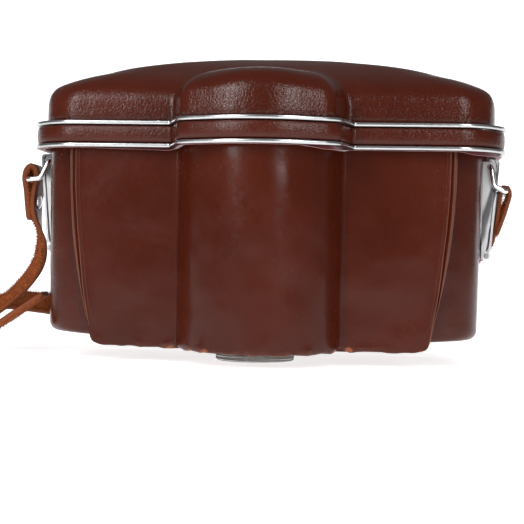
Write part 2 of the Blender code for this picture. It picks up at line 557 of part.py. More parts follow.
def end_fittings(s, n):
    """The bracket, spring catch, strap ring and strap loop at one end: s is 1 at +x and -1 at -x."""
    near, far = BRACKET_Y - BRACKET_WIDE / 2, BRACKET_Y + BRACKET_WIDE / 2
    pivot, hole = (s * LEVER_PIVOT[0], LEVER_PIVOT[1]), (s * RING_HOLE[0], RING_HOLE[1])
    ear = [(BRACKET_X, 37.9), (BRACKET_X + 0.9, 37.9), (79.9, 44.0), (82.4, 72.0), (81.6, 73.0), (BRACKET_X, 73.0)]
    bracket = keep(f"bracket_{n}", prism(f"bracket_{n}", [[(s * x, z) for x, z in ear]], near, far, "xzy"), CHROME)

    def trimmed(name, low, high):
        xs = sorted((s * low[0], s * high[0]))
        boolean(bracket, keep(f"{name}_{n}", block(f"{name}_{n}", (xs[0], *low[1:]), (xs[1], *high[1:]))))

    trimmed("channel", (BRACKET_X + SHEET, near + SHEET, 41.6), (90, far - SHEET, 80))
    trimmed("knuckle_room", (70, near + 3.6, 30), (90, far - 3.6, 41.8))
    for k, y in enumerate((near + 1.65, far - 1.65)):
        barrel = rod(f"barrel_{n}_{k}", 1.5, y - 1.64, y + 1.64, (pivot[0], 0, pivot[1]), "y", 14)
        boolean(bracket, keep(f"barrel_{n}_{k}", barrel), "UNION")
    boolean(bracket, keep(f"pin_bore_{n}", rod(f"pin_bore_{n}", 0.8, 0, 60, (pivot[0], 0, pivot[1]), "y", 12)))
    boolean(bracket, keep(f"ring_bore_{n}", rod(f"ring_bore_{n}", 1.3, 0, 60, (hole[0], 0, hole[1]), "y", 14)))
    keep(f"catch_pin_{n}", rod(f"catch_pin_{n}", 0.6, near - 0.4, far + 0.4, (pivot[0], 0, pivot[1]), "y", 12), STEEL)
    for place, z in (("lower", 48.0), ("upper", 62.0)):
        x = s * (BRACKET_X + SHEET)
        drilled = rod(f"rivet_hole_{n}_{place}", 1.1, 77 * s - 7, 77 * s + 7, (0, BRACKET_Y, z), "x", 10)
        boolean(bracket, keep(f"rivet_hole_{n}_{place}", drilled))
        rivet(f"bracket_rivet_{n}_{place}", (x, BRACKET_Y, z), "x", s)

    plate = [(81.0, 39.3), (83.7, 72.6), (83.3, 73.6), (82.4, 73.9), (80.2, 73.9), (80.2, 73.35), (82.2, 73.35),
             (82.9, 72.4), (80.55, 43.0), (79.9, 40.75)]
    lever = keep(f"catch_lever_{n}", prism(f"catch_lever_{n}", [[(s * x, z) for x, z in plate]], near, far, "xzy"),
                 CHROME, lever_axis[s])
    for k, (low, high) in enumerate(((near - 5, near + 5.3), (far - 5.3, far + 5))):
        room = block(f"lever_room_{n}_{k}", (min(s * 70, s * 90), low, 30), (max(s * 70, s * 90), high, 41.2))
        boolean(lever, keep(f"lever_room_{n}_{k}", room, on=lever_axis[s]))
    barrel = rod(f"lever_barrel_{n}", 1.5, near + 5.3, far - 5.3, (pivot[0], 0, pivot[1]), "y", 14)
    boolean(lever, keep(f"lever_barrel_{n}", barrel, on=lever_axis[s]), "UNION")
    lever_bore = rod(f"lever_bore_{n}", 0.8, 0, 60, (pivot[0], 0, pivot[1]), "y", 12)
    boolean(lever, keep(f"lever_bore_{n}", lever_bore, on=lever_axis[s]))
    coil = [(0.9, 0), (0.9, 1.2), (1.4, 1.2), (1.4, 0)]
    keep(f"catch_spring_{n}", turned(f"catch_spring_{n}", coil, (pivot[0], near + 3.8, pivot[1]), 12, "y"), STEEL)

    hook = [(79.0, 81.0), (79.0, 71.6), (79.5, 71.6), (81.0, 72.3), (81.0, 72.7), (79.6, 72.7), (79.6, 81.0)]
    keep(f"lid_catch_{n}", prism(f"lid_catch_{n}", [[(s * x, z) for x, z in hook]], BRACKET_Y - 3, BRACKET_Y + 3,
                                 "xzy"), CHROME, lid_axis)

    hang = math.radians(RING_HANG[s])
    bar = (hole[0] + s * RING_REACH * math.sin(hang), hole[1] - RING_REACH * math.cos(hang))
    knee_turn = hang - math.radians(30)
    knee = (hole[0] + s * 7.6 * math.sin(knee_turn), hole[1] - 7.6 * math.cos(knee_turn))
    half, inner = RING_HALF, 4.9
    route = [(hole, -inner), (hole, -half), (knee, -half), (bar, -half), (bar, half), (knee, half), (hole, half),
             (hole, inner)]
    keep(f"strap_ring_{n}", wire(f"strap_ring_{n}", [(x, BRACKET_Y + y, z) for (x, z), y in route], RING_WIRE, 1.5),
         CHROME, ring_axis[s])

    ply, eye_r = 1.3, RING_WIRE + 0.15
    crown, bottom = eye_r + ply, bar[1] - LOOP_LONG
    outline = [(bar[0] + crown * math.cos(math.radians(a)), bar[1] + crown * math.sin(math.radians(a)))
               for a in range(-20, 201, 20)]
    outline += [(bar[0] + a * (ply + 0.1), z) for a, z in ((-1, bar[1] - 6), (-1, bottom), (1, bottom),
                                                           (1, bar[1] - 6))]
    eye = [(bar[0] + eye_r * math.cos(math.radians(a)), bar[1] + eye_r * math.sin(math.radians(a)))
           for a in range(0, 360, 30)]
    centre = Vector((bar[0], 0, bar[1])) * MM
    lean = Matrix.Translation(centre) @ Matrix.Rotation(math.radians(s * LOOP_LEAN[s]), 4, "Y")
    lean = lean @ Matrix.Translation(-centre)
    stud = (bar[0], BRACKET_Y, bar[1] - 8.2)
    meshes = {
        "strap_loop": prism(f"strap_loop_{n}", [outline, eye], BRACKET_Y - STRAP_WIDE / 2,
                            BRACKET_Y + STRAP_WIDE / 2, "xzy"),
        "stud_hole": rod(f"stud_hole_{n}", 1.1, -5, 5, stud, "x", 10),
        "strap_rivet": turned(f"strap_rivet_{n}", [
            (0, -2.1), (0, 2.1), (1.2, 2.05), (1.9, 1.75), (0.8, 1.7), (0.8, -1.7), (1.9, -1.75), (1.2, -2.05),
        ], stud, 12, "x"),
    }
    for mesh in meshes.values():
        mesh.transform(lean)
    loop = keep(f"strap_loop_{n}", meshes["strap_loop"], STRAP_TAN, ring_axis[s])
    boolean(loop, keep(f"stud_hole_{n}", meshes["stud_hole"], on=ring_axis[s]))
    keep(f"strap_rivet_{n}", meshes["strap_rivet"], BRASS, ring_axis[s])
    end = lean @ Vector((bar[0] * MM, 0, (bottom - 2 * GAP) * MM))
    return end.x / MM, end.z / MM


def strap(left_end, right_end):
    """The strap's free runs, and the plain solids of its two folded stretches."""
    y = BRACKET_Y
    side, back = SIDE_HANK_X[1] + 0.6, BACK_HANK_X
    runs = {
        "strap_left": [
            (left_end[0], y, left_end[1], 0), (-86.6, y, 46.5, 0), (-84.9, y, 41.0, 0), (-86.0, y, 33.5, 0),
            (-91.8, y, 25.2, 0), (-100.5, y, 17.2, 0), (-109.5, y, 11.4, 0), (-117.5, y, 8.2, 0), (side, y, 7.0, 0),
        ],
        "strap_tail": [
            (side, y, 2.6, 0), (-119, y, 2.8, 0), (-109, y, 5.2, 0), (-100, y, 9.8, 0), (-91, y, 16.0, 0),
            (-82.5, y, 22.0, 0),
        ],
        "strap_back": [
            (side, y, 10.3, 0), (-119, 31.4, 12.4, 0), (-110, 36.5, 16.0, 0), (-101, 44, 18.4, 0),
            (-92, 54, 17.6, 0), (-83, 64, 15.6, 0), (-72, 72, 12.4, 0), (-59, 77.5, 8.6, 0), (-46, 79, 5.4, 0),
            (-31.5, 79, 3.3, 0), (back[0] - 0.6, BACK_HANK_Y, 3.2, 0),
        ],
        "strap_right": [
            (back[1] + 0.6, BACK_HANK_Y, 4.6, 0), (57.8, 78.8, 6.0, 0), (61.5, 78.2, 11.5, 8), (65.5, 75.6, 20.0, 30),
            (70.5, 71.2, 29.0, 62), (75.8, 64.5, 36.5, 82), (79.0, 56.5, 40.8, 90), (80.6, 48.5, 42.6, 90),
            (82.3, 40.2, 43.0, 84), (83.6, 34.6, 44.4, 48), (84.3, 30.8, 46.6, 8),
            (right_end[0] - 0.25, y, right_end[1] - 1.8, 0), (right_end[0], y, right_end[1], 0),
        ],
    }
    for name, route in runs.items():
        keep(name, ribbon(name, route), STRAP_TAN)
    for name, (x0, x1), y, top in (
        ("strap_hank_side", SIDE_HANK_X, BRACKET_Y, SIDE_HANK_TOP),
        ("strap_hank_back", BACK_HANK_X, BACK_HANK_Y, BACK_HANK_TOP),
    ):
        foot = HANK_Z if name == "strap_hank_side" else 0.3
        end = (top - foot) / 2
        outline = rounded([(x0, foot, end * 0.9), (x1, foot, end * 0.9), (x1, top, end * 0.9), (x0, top, end * 0.9)], 30)
        keep(name, prism(name, [outline], y - STRAP_WIDE / 2 - 0.4, y + STRAP_WIDE / 2 + 0.4, "xzy"), STRAP_TAN)
    middle, half, tall = BRACKET_Y, STRAP_WIDE / 2 + 0.7, SIDE_HANK_TOP + 0.3
    inside = [(middle - half, HANK_Z - 0.3, 0.5), (middle + half, HANK_Z - 0.3, 0.5), (middle + half, tall, 0.5),
              (middle - half, tall, 0.5)]
    keep("strap_keeper", prism("strap_keeper", [rounded(grown(inside, 0.95)), rounded(inside)], -150, -141, "zxy"),
         STRAP_TAN)
    x0, x1, half, z = -250.0, -238.0, 7.4, 5.2
    corners = [(x1, 0), (x1, half), (x0, half), (x0, -half), (x1, -half), (x1, -0.6)]
    keep("buckle_frame", wire("buckle_frame", [(x, BRACKET_Y + dy, z) for x, dy in corners], 1.1, 2.0), CHROME)
    keep("buckle_prong", wire("buckle_prong", [(x0 - 0.6, BRACKET_Y, z + 2.2), (-244, BRACKET_Y, z + 2.6),
                                               (x1 - 0.4, BRACKET_Y, z + 2.2)], 0.7, 1.0), CHROME)


body()
case_screw()
lid()
hinge()
ends = {s: end_fittings(s, n) for s, n in ((1, "right"), (-1, "left"))}
strap(ends[-1], ends[1])
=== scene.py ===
"""Looks for the moulded leather camera case: its camera, studio light, strap, and finer surfaces on the CAD part."""

import json
import math
import random

import bmesh
import bpy
import numpy as np
from mathutils import Matrix, Vector, noise


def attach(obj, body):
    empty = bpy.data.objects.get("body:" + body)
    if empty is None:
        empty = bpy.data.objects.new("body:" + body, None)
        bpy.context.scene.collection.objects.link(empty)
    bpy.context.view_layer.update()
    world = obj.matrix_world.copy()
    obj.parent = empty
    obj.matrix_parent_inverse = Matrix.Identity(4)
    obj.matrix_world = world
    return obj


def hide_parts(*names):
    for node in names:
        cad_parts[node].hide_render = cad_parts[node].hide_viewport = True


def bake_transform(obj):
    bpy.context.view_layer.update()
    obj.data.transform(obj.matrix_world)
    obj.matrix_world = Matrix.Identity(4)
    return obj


# Lengths are in millimetres, and MM turns them into metres.
MM = 0.001
FRONT = -22.6  # the front panel's face in the part's frame
SCREW = (-2.7, 20, 0)
SHAFT_R = 5.3  # of the screw's hole through the base
TRAY_Z, FLOOR_Z, BODY_TOP = 9.7, 12.7, 80.0
WALL = 3.0
SOLE_Z = 5.1
SKIRT_Z, DOME_Z = 74.3, 84.0
DRUM_R, DRUM_Y = 29.7, 8.7
RING_Y = 30  # the middle of the strap rings

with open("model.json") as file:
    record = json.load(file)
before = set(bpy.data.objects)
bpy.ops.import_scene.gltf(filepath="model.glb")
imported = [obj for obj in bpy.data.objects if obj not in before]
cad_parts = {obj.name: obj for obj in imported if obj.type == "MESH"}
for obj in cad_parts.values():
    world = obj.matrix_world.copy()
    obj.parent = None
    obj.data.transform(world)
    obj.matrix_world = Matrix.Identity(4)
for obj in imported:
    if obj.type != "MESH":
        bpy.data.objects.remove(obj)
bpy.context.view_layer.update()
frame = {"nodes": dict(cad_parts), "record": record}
scene = bpy.context.scene


def P(x, y, z):
    """A point given in millimetres from the front panel's face, in the part's frame."""
    return Vector((x, y + FRONT, z)) * MM


def placed(name, data):
    """A new object of this data, in the scene."""
    thing = bpy.data.objects.new(name, data)
    scene.collection.objects.link(thing)
    return thing


# ---------------------------------------------------------------- camera
YAW, ROLL = math.atan(0.0915), math.atan(0.0197)
SENSOR = 36.0
FOCAL = 1275 / 524  # the focal length as a share of the frame's width
camera = placed("camera", bpy.data.cameras.new("camera"))
scene.camera = camera
camera.data.sensor_width = SENSOR
camera.data.lens = FOCAL * SENSOR
camera.data.clip_start = 0.02
camera.location = P(41.23, -439.23, 35.5)
camera.rotation_mode = "QUATERNION"
camera.rotation_quaternion = (
    Matrix.Rotation(YAW, 4, "Z") @ Matrix.Rotation(math.pi / 2, 4, "X") @ Matrix.Rotation(ROLL, 4, "Z")
).to_quaternion()


# ---------------------------------------------------------------- outlines
def rounded(corners, step=4.0, cuts=None):
    """The points of an outline whose corners (x, y, radius) are turned into arcs; cuts splits the side after each."""
    points, ends = [], []
    for i, (x, y, radius) in enumerate(corners):
        here = Vector((x, y))
        back = (Vector(corners[i - 1][:2]) - here).normalized()
        ahead = (Vector(corners[(i + 1) % len(corners)][:2]) - here).normalized()
        turn = math.pi - back.angle(ahead)
        if radius <= 0 or turn < 1e-3:
            points.append(here)
            ends.append((here, here, len(points)))
            continue
        reach = radius * math.tan(turn / 2)
        centre = here + (back + ahead).normalized() * math.hypot(radius, reach)
        first = here + back * reach - centre
        side = math.copysign(1, first.cross(here + ahead * reach - centre))
        count = max(1, round(math.degrees(turn) / step))
        for k in range(count + 1):
            angle = side * turn * k / count
            cos, sin = math.cos(angle), math.sin(angle)
            points.append(centre + Vector((first.x * cos - first.y * sin, first.x * sin + first.y * cos)))
        ends.append((centre + first, points[-1], len(points)))
    if not cuts:
        return points
    whole, start = [], 0
    for i, (_, last, stop) in enumerate(ends):
        whole += points[start:stop]
        onward = ends[(i + 1) % len(ends)][0]
        whole += [last.lerp(onward, k / cuts[i]) for k in range(1, cuts[i])]
        start = stop
    return whole


def cuts_of(corners, spacing):
    """How many pieces each side of an outline splits into."""
    return [
        max(1, round(math.dist(c[:2], corners[(i + 1) % len(corners)][:2]) / spacing))
        for i, c in enumerate(corners)
    ]


def grown(corners, by):
    """The same corners, counter-clockwise, moved outwards; arcs keep their centres."""
    moved = []
    for i, (x, y, radius) in enumerate(corners):
        here = Vector((x, y))
        come = (here - Vector(corners[i - 1][:2])).normalized()
        go = (Vector(corners[(i + 1) % len(corners)][:2]) - here).normalized()
        out = Vector((come.y + go.y, -come.x - go.x)).normalized()
        place = here + out * by / out.dot(Vector((come.y, -come.x)))
        convex = come.cross(go) > 0
        moved.append((*place, max(min(radius, 0.3), radius + by if convex else radius - by)))
    return moved


def rectangle(half, front, back, radius):
    return [(-half, front, radius), (half, front, radius), (half, back, radius), (-half, back, radius)]


ASIDE = 1.2  # the lid's outside sits this far to the right, as a moulded lid often does
SKIRT = [
    (-83.0 + ASIDE, -4.2, 17.0), (-30.8, -4.2, 1.5), (-26.3, -18.6, 9.0), (0, -28.4, 45.0), (27.3, -18.6, 9.0),
    (31.6, -4.2, 1.5), (83.0 + ASIDE, -4.2, 17.0), (83.0 + ASIDE, 66.2, 17.0), (-83.0 + ASIDE, 66.2, 17.0),
]


# ---------------------------------------------------------------- meshes
def made(name, mesh, body, *nodes, slot):
    """An object of this mesh, riding on a body in place of these nodes."""
    thing = placed(name, mesh)
    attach(thing, body)
    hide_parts(*nodes)
    return thing


def mesh_of(name, points, faces):
    mesh = bpy.data.meshes.new(name)
    mesh.from_pydata([tuple(P(*p)) for p in points], [], faces)
    mesh.validate()
    shape = bmesh.new()
    shape.from_mesh(mesh)
    bmesh.ops.remove_doubles(shape, verts=shape.verts, dist=1e-7)
    bmesh.ops.recalc_face_normals(shape, faces=shape.faces)
    if shape.calc_volume(signed=True) < 0:
        bmesh.ops.reverse_faces(shape, faces=shape.faces)
    shape.to_mesh(mesh)
    shape.free()
    mesh.shade_smooth()
    return mesh


def loft(name, rings, closed=False):
    """A solid skin through rings of the same number of points; closed joins the last ring to the first."""
    count = len(rings[0])
    points = [p for ring in rings for p in ring]
    faces = []
    for r in range(len(rings) - (0 if closed else 1)):
        a, b = r * count, (r + 1) % len(rings) * count
        faces += [(a + k - 1, a + k, b + k, b + k - 1) for k in range(1, count)]
        faces.append((a + count - 1, a, b, b + count - 1))
    if not closed:
        faces += [list(range(count))[::-1], [(len(rings) - 1) * count + k for k in range(count)]]
    return mesh_of(name, points, faces)


def swept_band(name, corners, profile, step=4.0):
    """A closed band: each profile point (outwards, z) runs round the outline."""
    rings = [[(*p, z) for p in rounded(grown(corners, out), step)] for out, z in profile]
    return loft(name, rings, closed=True)


def smooth_line(points, spacing):
    """Points on a Catmull-Rom curve; each point may carry more numbers than three."""
    knots = [np.array(p, float) for p in points]
    knots = [2 * knots[0] - knots[1], *knots, 2 * knots[-1] - knots[-2]]
    fine = []
    for a, b, c, d in zip(knots, knots[1:], knots[2:], knots[3:]):
        count = max(1, round(float(np.linalg.norm((c - b)[:3])) / spacing))
        for k in range(count):
            t = k / count
            fine.append(0.5 * (2 * b + (c - a) * t + (2 * a - 5 * b + 4 * c - d) * t**2
                               + (3 * b - a - 3 * c + d) * t**3))
    return [*fine, knots[-2]]


def dented(mesh, amount, size, seed):
    """Moves each point a little along its normal, as hand-shaped leather is never true."""
    shift = Vector((seed, seed * 1.7, seed * 0.6))
    normals = [v.normal.copy() for v in mesh.vertices]
    for v, normal in zip(mesh.vertices, normals):
        where = v.co / (size * MM) + shift
        v.co += normal * noise.fractal(where, 0.9, 2.0, 3) * amount * MM
    return mesh


def applied(thing, *cuts):
    """The object after Boolean cuts or joins, each a mesh and its operation."""
    helpers = []
    for k, (mesh, operation) in enumerate(cuts):
        other = placed(f"{thing.name}_{k}", mesh)
        helpers.append(other)
        change = thing.modifiers.new(other.name, "BOOLEAN")
        change.operation, change.object, change.solver = operation, other, "EXACT"
    bake(thing)
    for other in helpers:
        bpy.data.objects.remove(other)
    return thing


def bake(thing):
    """Turns the object's modifiers into plain mesh."""
    graph = bpy.context.evaluated_depsgraph_get()
    graph.update()
    mesh = bpy.data.meshes.new_from_object(thing.evaluated_get(graph))
    mesh.name = thing.name
    thing.modifiers.clear()
    thing.data = mesh
    return thing


def box_mesh(name, low, high):
    return loft(name, [[(low[0], low[1], z), (high[0], low[1], z), (high[0], high[1], z), (low[0], high[1], z)]
                       for z in (low[2], high[2])])


def disc_loft(name, profile, centre, axis="z", steps=48, wave=None):
    """A solid turned from (radius, height) points about z or x; wave(angle, radius) alters the radius."""
    rings = []
    for radius, height in profile:
        ring = []
        for k in range(steps):
            angle = math.tau * k / steps
            r = wave(angle, radius) if wave else radius
            a, b = r * math.cos(angle), r * math.sin(angle)
            offset = (a, b, height) if axis == "z" else (height, a, b)
            ring.append(tuple(c + o for c, o in zip(centre, offset)))
        rings.append(ring)
    return loft(name, rings)


def turned_tube(name, points, radius, round_by=1.6):
    """A round wire along straight runs with rounded bends."""
    path = [Vector(points[0])]
    for back, here, ahead in zip(points, points[1:], points[2:]):
        here = Vector(here)
        reach = min(round_by, (Vector(back) - here).length * 0.48, (Vector(ahead) - here).length * 0.48)
        start = here + (Vector(back) - here).normalized() * reach
        end = here + (Vector(ahead) - here).normalized() * reach
        path += [(1 - t) ** 2 * start + 2 * t * (1 - t) * here + t**2 * end for t in np.linspace(0, 1, 9)]
    path.append(Vector(points[-1]))
    curve = bpy.data.curves.new(name, "CURVE")
    curve.dimensions = "3D"
    curve.bevel_depth = radius * MM
    curve.bevel_resolution = 6
    curve.use_fill_caps = True
    spline = curve.splines.new("POLY")
    spline.points.add(len(path) - 1)
    for point, place in zip(spline.points, path):
        point.co = (*P(*place), 1)
    helper = placed(name, curve)
    graph = bpy.context.evaluated_depsgraph_get()
    mesh = bpy.data.meshes.new_from_object(helper.evaluated_get(graph))
    bpy.data.objects.remove(helper)
    mesh.shade_smooth()
    mesh.set_sharp_from_angle(angle=math.radians(50))
    return mesh


def paint(thing, *finishes):
    thing.data.materials.clear()
    for finish in finishes:
        thing.data.materials.append(finish)
    return thing


# ---------------------------------------------------------------- materials
class Finish:
    """A procedural material in the object's own coordinates; its methods return the sockets that they make."""

    def __init__(self, name):
        self.material = bpy.data.materials.new(name)
        self.material.use_nodes = True
        self.tree = self.material.node_tree
        self.shader = self.tree.nodes["Principled BSDF"]
        self.place = self.node("ShaderNodeTexCoord").outputs["Object"]

    def node(self, kind, **settings):
        made = self.tree.nodes.new(kind)
        for key, value in settings.items():
            if hasattr(made, key):
                setattr(made, key, value)
            else:
                made.inputs[key.replace("_", " ")].default_value = value
        return made

    def noise(self, scale, detail=4.0, rough=0.55, stretch=(1, 1, 1), distortion=0.0):
        mapping = self.node("ShaderNodeMapping", Scale=stretch)
        self.tree.links.new(self.place, mapping.inputs["Vector"])
        noise = self.node("ShaderNodeTexNoise", Scale=scale, Detail=detail, Roughness=rough, Distortion=distortion)
        self.tree.links.new(mapping.outputs["Vector"], noise.inputs["Vector"])
        return noise.outputs["Fac"]

    def cells(self, scale, feature="F1"):
        cells = self.node("ShaderNodeTexVoronoi", feature=feature, Scale=scale)
        self.tree.links.new(self.place, cells.inputs["Vector"])
        return cells.outputs["Distance"]

    def ramp(self, source, stops):
        ramp = self.node("ShaderNodeValToRGB")
        while len(ramp.color_ramp.elements) < len(stops):
            ramp.color_ramp.elements.new(0.5)
        for element, (at, colour) in zip(ramp.color_ramp.elements, stops):
            element.position = at
            element.color = (*colour, 1) if len(colour) == 3 else colour
        self.tree.links.new(source, ramp.inputs["Fac"])
        return ramp.outputs["Color"]

    def mix(self, factor, a, b):
        mix = self.node("ShaderNodeMix", data_type="RGBA")
        for socket, value in ((mix.inputs[0], factor), (mix.inputs[6], a), (mix.inputs[7], b)):
            if isinstance(value, bpy.types.NodeSocket):
                self.tree.links.new(value, socket)
            else:
                socket.default_value = value if isinstance(value, float) else (*value, 1)
        return mix.outputs[2]

    def math(self, how, a, b):
        made = self.node("ShaderNodeMath", operation=how)
        for socket, value in zip(made.inputs, (a, b)):
            if isinstance(value, bpy.types.NodeSocket):
                self.tree.links.new(value, socket)
            else:
                socket.default_value = value
        return made.outputs[0]

    def span(self, source, low, high, to_low, to_high):
        made = self.node("ShaderNodeMapRange")
        for key, value in (("From Min", low), ("From Max", high), ("To Min", to_low), ("To Max", to_high)):
            made.inputs[key].default_value = value
        self.tree.links.new(source, made.inputs["Value"])
        return made.outputs["Result"]

    def bump(self, *layers):
        """Layers of (height socket, strength, distance in millimetres), the last one on top."""
        normal = None
        for height, strength, distance in layers:
            bump = self.node("ShaderNodeBump")
            bump.inputs["Strength"].default_value = strength
            bump.inputs["Distance"].default_value = distance * MM
            self.tree.links.new(height, bump.inputs["Height"])
            if normal:
                self.tree.links.new(normal, bump.inputs["Normal"])
            normal = bump.outputs["Normal"]
        self.tree.links.new(normal, self.shader.inputs["Normal"])

    def put(self, **values):
        """Sets the shader's sockets and returns the finished material."""
        for key, value in values.items():
            socket = self.shader.inputs[key.replace("_", " ")]
            if isinstance(value, bpy.types.NodeSocket):
                self.tree.links.new(value, socket)
            else:
                socket.default_value = (*value, 1) if isinstance(value, tuple) else value
        return self.material


RUSSET = (0.058, 0.0088, 0.0034)


def leather(name, base=RUSSET, rough=0.19, grain=0.35, gloss=0.26, coarse=520, depth=0.14, ridge_highlight=0.0, scuffs=()):
    """Polished leather with a painted highlight that pales its ridges, and scuffs (place, radius) that rub it raw."""
    f = Finish(name)
    patches = f.noise(28, 5, 0.6)
    fine = f.noise(900, 3, 0.6)
    wear = f.noise(60, 8, 0.7, distortion=0.4)
    tone = f.ramp(patches, [(0.3, tuple(c * 0.82 for c in base)), (0.7, tuple(c * 1.18 for c in base))])
    tone = f.mix(f.span(fine, 0.35, 0.65, 0.0, 0.22), tone, tuple(c * 0.55 for c in base))
    tone = f.mix(f.span(wear, 0.68, 0.8, 0.0, 0.25), tone, (0.11, 0.036, 0.018))
    if ridge_highlight:
        # painted highlight: convex ridges are paled towards a light pinkish brown in place of the lamps' glint on the
        # beads
        ridge = f.node("ShaderNodeNewGeometry").outputs["Pointiness"]
        tone = f.mix(f.span(ridge, 0.515, 0.56, 0.0, ridge_highlight), tone, (0.3, 0.13, 0.085))
    rubs = f.noise(900, 6, 0.75)
    for place, radius in scuffs:
        reach = f.node("ShaderNodeVectorMath", operation="DISTANCE")
        f.tree.links.new(f.place, reach.inputs[0])
        reach.inputs[1].default_value = P(*place)
        close = f.span(reach.outputs["Value"], radius * 0.3 * MM, radius * MM, 1.0, 0.0)
        tone = f.mix(f.span(f.math("MULTIPLY", close, rubs), 0.28, 0.5, 0.0, 0.9), tone, (0.3, 0.085, 0.028))
    pores = f.cells(1300)
    wrinkles = f.noise(coarse, 2.5, 0.5, distortion=1.4)
    creases = f.cells(coarse * 0.9, "DISTANCE_TO_EDGE")
    swells = f.noise(45, 3, 0.5)
    cracks = f.span(creases, 0.0, 0.12, 0.0, 1.0)
    f.bump((swells, 0.25, 0.5), (wrinkles, grain, depth), (cracks, grain * 0.45, depth * 0.4),
           (pores, grain * 0.6, 0.04))
    roughness = f.math("ADD", f.span(wrinkles, 0.3, 0.7, rough - 0.04, rough + 0.06),
                       f.span(patches, 0.3, 0.7, -0.04, 0.05))
    return f.put(Base_Color=tone, Roughness=roughness, Specular_IOR_Level=gloss)


def metal(name, colour, rough, streak=0.04):
    """Plated metal with faint scratches; streak is how much rougher they are."""
    f = Finish(name)
    spots = f.noise(300, 6, 0.6)
    scratches = f.noise(80, 6, 0.7, (1, 8, 8))
    tone = f.ramp(spots, [(0.35, colour), (0.75, tuple(c * 0.88 for c in colour))])
    f.bump((scratches, 0.05, 0.05))
    return f.put(Base_Color=tone, Metallic=1.0, Roughness=f.span(scratches, 0.3, 0.7, rough, rough + streak))


def plate_with_painted_reflections(name):
    """Polished sheet with painted reflections: broad white areas and a few dark bands painted down it."""
    f = Finish(name)
    reflection_bands = f.noise(60, 3, 0.5, (1, 1, 0.35), 0.6)
    spots = f.noise(400, 6, 0.6)
    # painted reflections: near-white colour with dark bands stretched down the sheet, standing in for what the chrome
    # would reflect
    tone = f.ramp(reflection_bands, [(0.0, (0.9, 0.9, 0.91)), (0.56, (0.86, 0.86, 0.87)), (0.6, (0.2, 0.2, 0.21)),
                          (0.66, (0.12, 0.12, 0.13)), (0.7, (0.8, 0.8, 0.81))])
    tone = f.mix(f.span(spots, 0.5, 0.8, 0.0, 0.2), tone, (0.45, 0.44, 0.42))
    f.bump((spots, 0.05, 0.05))
    return f.put(Base_Color=tone, Metallic=0.25, Roughness=0.16, Specular_IOR_Level=0.6)


TEETH = 84


def knurled(name):
    """Dulled plate with the crossed cuts of a knurling wheel round an upright axis."""
    f = Finish(name)
    spread = f.node("ShaderNodeMapping")
    spread.inputs["Location"].default_value = -P(*SCREW)
    f.tree.links.new(f.place, spread.inputs["Vector"])
    parts = f.node("ShaderNodeSeparateXYZ")
    f.tree.links.new(spread.outputs["Vector"], parts.inputs["Vector"])
    angle = f.math("MULTIPLY", f.math("ARCTAN2", parts.outputs["Y"], parts.outputs["X"]), float(TEETH))
    height = f.math("MULTIPLY", parts.outputs["Z"], 5200.0)
    right = f.math("SINE", f.math("ADD", angle, height), 0.0)
    left = f.math("SINE", f.math("SUBTRACT", angle, height), 0.0)
    cross = f.math("MAXIMUM", right, left)
    grime = f.noise(500, 5, 0.7)
    # painted shade: the knurl's cuts are painted near black and the crests between them near white
    tone = f.ramp(cross, [(0.3, (0.95, 0.95, 0.94)), (0.95, (0.12, 0.115, 0.11))])
    tone = f.mix(f.span(grime, 0.4, 0.7, 0.0, 0.6), tone, (0.3, 0.28, 0.25))
    f.bump((f.math("MULTIPLY", cross, -1.0), 0.7, 0.25))
    return f.put(Base_Color=tone, Metallic=0.8, Roughness=0.36)


def velvet(name):
    f = Finish(name)
    pile = f.noise(2500, 3, 0.7)
    rubbed = f.noise(60, 4, 0.6)
    tone = f.ramp(rubbed, [(0.3, (0.16, 0.006, 0.012)), (0.7, (0.3, 0.012, 0.02))])
    tone = f.mix(f.span(pile, 0.3, 0.7, 0.0, 0.5), tone, (0.06, 0.002, 0.004))
    f.bump((pile, 0.6, 0.2))
    return f.put(Base_Color=tone, Roughness=0.95, Sheen_Weight=0.6, Sheen_Roughness=0.4)


LEATHER = leather("case_leather")
CHROME = metal("chrome_plate", (0.86, 0.86, 0.87), 0.08)
TRIM = metal("trim_chrome", (0.6, 0.6, 0.61), 0.18, 0.08)
STEEL = metal("steel", (0.5, 0.5, 0.51), 0.25)
BRASS = metal("brass", (0.62, 0.45, 0.2), 0.25)
VELVET = velvet("velvet_lining")
# the plate's white areas and dark bands are painted reflections
PAINTED_REFLECTION_PLATE = plate_with_painted_reflections("plate_with_painted_reflections")
FINISHES = {"leather": LEATHER, "strap_leather": LEATHER, "chrome": CHROME, "steel": STEEL, "brass": BRASS,
            "velvet": VELVET}
for node, thing in frame["nodes"].items():
    slot = next(s["material_slot"] for s in frame["record"]["subparts"] if s["node"] == node)
    pressed = node.startswith(("bracket_left", "bracket_right", "catch_lever"))
    # brackets and catch levers take the plate with painted reflections
    paint(thing, PAINTED_REFLECTION_PLATE if pressed else FINISHES[slot])


# ---------------------------------------------------------------- the strap
SECTION = [(-4.75, 0.95), (-2.4, 1.0), (0, 1.0), (2.4, 1.0), (4.75, 0.95), (5.0, 0.65), (5.05, 0.0), (5.0, -0.65),
           (4.7, -0.95), (2.4, -0.9), (0, -0.95), (-2.4, -0.9), (-4.7, -0.95), (-5.0, -0.65), (-5.05, 0.0),
           (-5.0, 0.65)]


